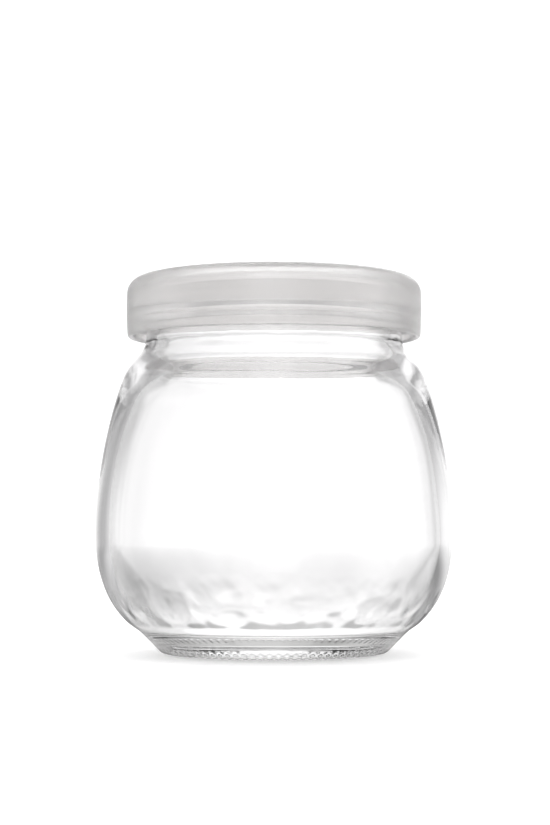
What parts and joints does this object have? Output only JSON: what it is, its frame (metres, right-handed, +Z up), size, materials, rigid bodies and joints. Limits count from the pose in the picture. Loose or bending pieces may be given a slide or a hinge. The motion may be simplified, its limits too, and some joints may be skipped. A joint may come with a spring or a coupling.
{
  "type": "glass yogurt jar with lid",
  "caption": "Squat pear-shaped jar of clear glass on a tapered foot, empty, closed by a frosted plastic push-on lid.",
  "frame": {"origin": "centre of the ring that the jar stands on", "axes": "+Z up along the jar's axis, towards the lid; the jar is round, so +X and +Y are free, and the pictured side faces -Y"},
  "size_m": [0.0762, 0.0762, 0.08],
  "materials": {
    "glass": "clear, glossy, slightly wavy inside",
    "lid_plastic": "frosted, translucent"
  },
  "bodies": {
    "root": {"jar": "glass", "lid": "lid_plastic"}
  },
  "joints": []
}
